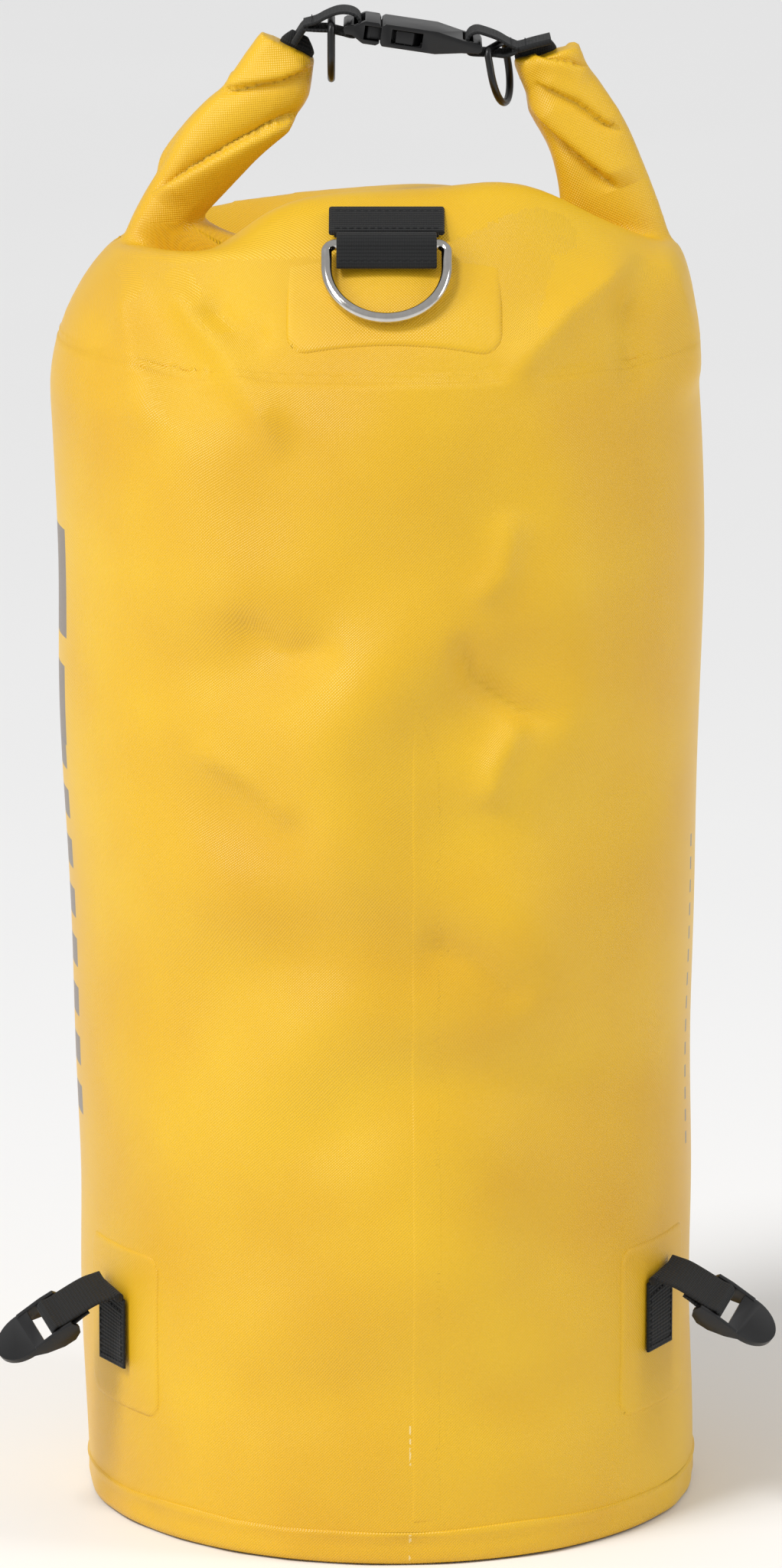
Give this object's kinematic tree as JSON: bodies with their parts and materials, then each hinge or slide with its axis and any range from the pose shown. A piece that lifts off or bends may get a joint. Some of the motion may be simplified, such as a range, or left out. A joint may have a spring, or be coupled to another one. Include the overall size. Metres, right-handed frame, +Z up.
{
  "type": "roll-top dry bag",
  "caption": "Closed roll-top dry bag: welded round-based fabric tube, buckled roll ends as a handle, front D-ring, hanging accessory rings and ladder-lock strap anchors.",
  "frame": {"origin": "centre of the round base where it rests on the floor", "axes": "+Z up along the bag, +X towards its right as seen from the D-ring side, -Y towards the D-ring side"},
  "size_m": [0.3672, 0.2942, 0.7098],
  "materials": {
    "yellow": "semi-gloss PVC-coated polyester tarpaulin",
    "black_webbing": "woven polyester webbing",
    "black_plastic": "moulded acetal, satin",
    "nickel": "nickel-plated steel wire"
  },
  "bodies": {
    "bag": {"bag_wall": "yellow", "base_panel": "yellow", "base_hem": "yellow", "side_seam": "yellow", "left_patch": "yellow", "right_patch": "yellow", "d_ring_patch": "yellow", "d_ring_pocket": "black_webbing", "d_ring_flap": "black_webbing", "roll_middle": "yellow", "left_strip": "black_webbing", "right_strip": "black_webbing"},
    "left_arm": {"left_arm_roll": "yellow", "left_mouth_band": "black_webbing"},
    "right_arm": {"right_arm_roll": "yellow", "right_mouth_band": "black_webbing"},
    "left_link": {"left_webbing": "black_webbing", "plug_body": "black_plastic"},
    "right_link": {"right_webbing": "black_webbing", "socket_body": "black_plastic"},
    "front_prong_arm": {"front_prong": "black_plastic"},
    "rear_prong_arm": {"rear_prong": "black_plastic"},
    "left_accessory_ring": {"left_ring": "black_plastic"},
    "right_accessory_ring": {"right_ring": "black_plastic"},
    "d_ring_swinging": {"d_ring": "nickel"},
    "left_strap": {"left_flap": "black_webbing"},
    "right_strap": {"right_flap": "black_webbing"},
    "left_ladder_lock": {"left_lock": "black_plastic"},
    "right_ladder_lock": {"right_lock": "black_plastic"}
  },
  "joints": [
    {"name": "left_arm_spread", "type": "hinge", "parent": "bag", "child": "left_arm", "pos_m": [-0.1, 0, 0.625], "axis": [0, -1, 0], "range_deg": [0, 25]},
    {"name": "right_arm_spread", "type": "hinge", "parent": "bag", "child": "right_arm", "pos_m": [0.1065, 0, 0.6134], "axis": [0, 1, 0], "range_deg": [0, 25]},
    {"name": "left_link_level", "type": "hinge", "parent": "left_arm", "child": "left_link", "pos_m": [-0.04509, 0, 0.69414], "axis": [0, 1, 0], "range_deg": [0, 25]},
    {"name": "right_link_level", "type": "hinge", "parent": "right_arm", "child": "right_link", "pos_m": [0.07421, 0, 0.69558], "axis": [0, -1, 0], "range_deg": [0, 25]},
    {"name": "front_prong_press", "type": "hinge", "parent": "left_link", "child": "front_prong_arm", "pos_m": [-0.01013, -0.01325, 0.70042], "axis": [0.1478, 0, 0.989], "range_deg": [0, 5.5], "stiffness_Nm_per_rad": 1.5},
    {"name": "rear_prong_press", "type": "hinge", "parent": "left_link", "child": "rear_prong_arm", "pos_m": [-0.01013, 0.01325, 0.70042], "axis": [-0.1478, 0, -0.989], "range_deg": [0, 5.5], "stiffness_Nm_per_rad": 1.5},
    {"name": "left_ring_swing", "type": "hinge", "parent": "left_link", "child": "left_accessory_ring", "pos_m": [-0.02775, 0, 0.70366], "axis": [0, -1, 0], "range_deg": [0, 40]},
    {"name": "right_ring_swing", "type": "hinge", "parent": "right_link", "child": "right_accessory_ring", "pos_m": [0.0487, 0, 0.69224], "axis": [0.2504, 0.9681, 0], "range_deg": [0, 40]},
    {"name": "d_ring_swing", "type": "hinge", "parent": "bag", "child": "d_ring_swinging", "pos_m": [-0.002, -0.09792, 0.61468], "axis": [-1, 0, 0], "range_deg": [0, 135]},
    {"name": "left_strap_lift", "type": "hinge", "parent": "bag", "child": "left_strap", "pos_m": [-0.13361, -0.07292, 0.114], "axis": [-0.4835, 0.858, 0.1736], "range_deg": [-20, 70]},
    {"name": "right_strap_lift", "type": "hinge", "parent": "bag", "child": "right_strap", "pos_m": [0.12879, -0.07286, 0.122], "axis": [-0.4696, -0.8656, -0.1736], "range_deg": [-20, 70]},
    {"name": "left_lock_tilt", "type": "hinge", "parent": "left_strap", "child": "left_ladder_lock", "pos_m": [-0.15967, -0.07877, 0.10036], "axis": [-0.3377, 0.9056, 0.2565], "range_deg": [-20, 25]},
    {"name": "right_lock_tilt", "type": "hinge", "parent": "right_strap", "child": "right_ladder_lock", "pos_m": [0.15495, -0.07829, 0.10836], "axis": [-0.3231, -0.9109, -0.2565], "range_deg": [-20, 25]}
  ],
  "couplings": [
    {"joint": "right_arm_spread", "follows": "left_arm_spread", "ratio": 1},
    {"joint": "left_link_level", "follows": "left_arm_spread", "ratio": 1},
    {"joint": "right_link_level", "follows": "left_arm_spread", "ratio": 1}
  ]
}
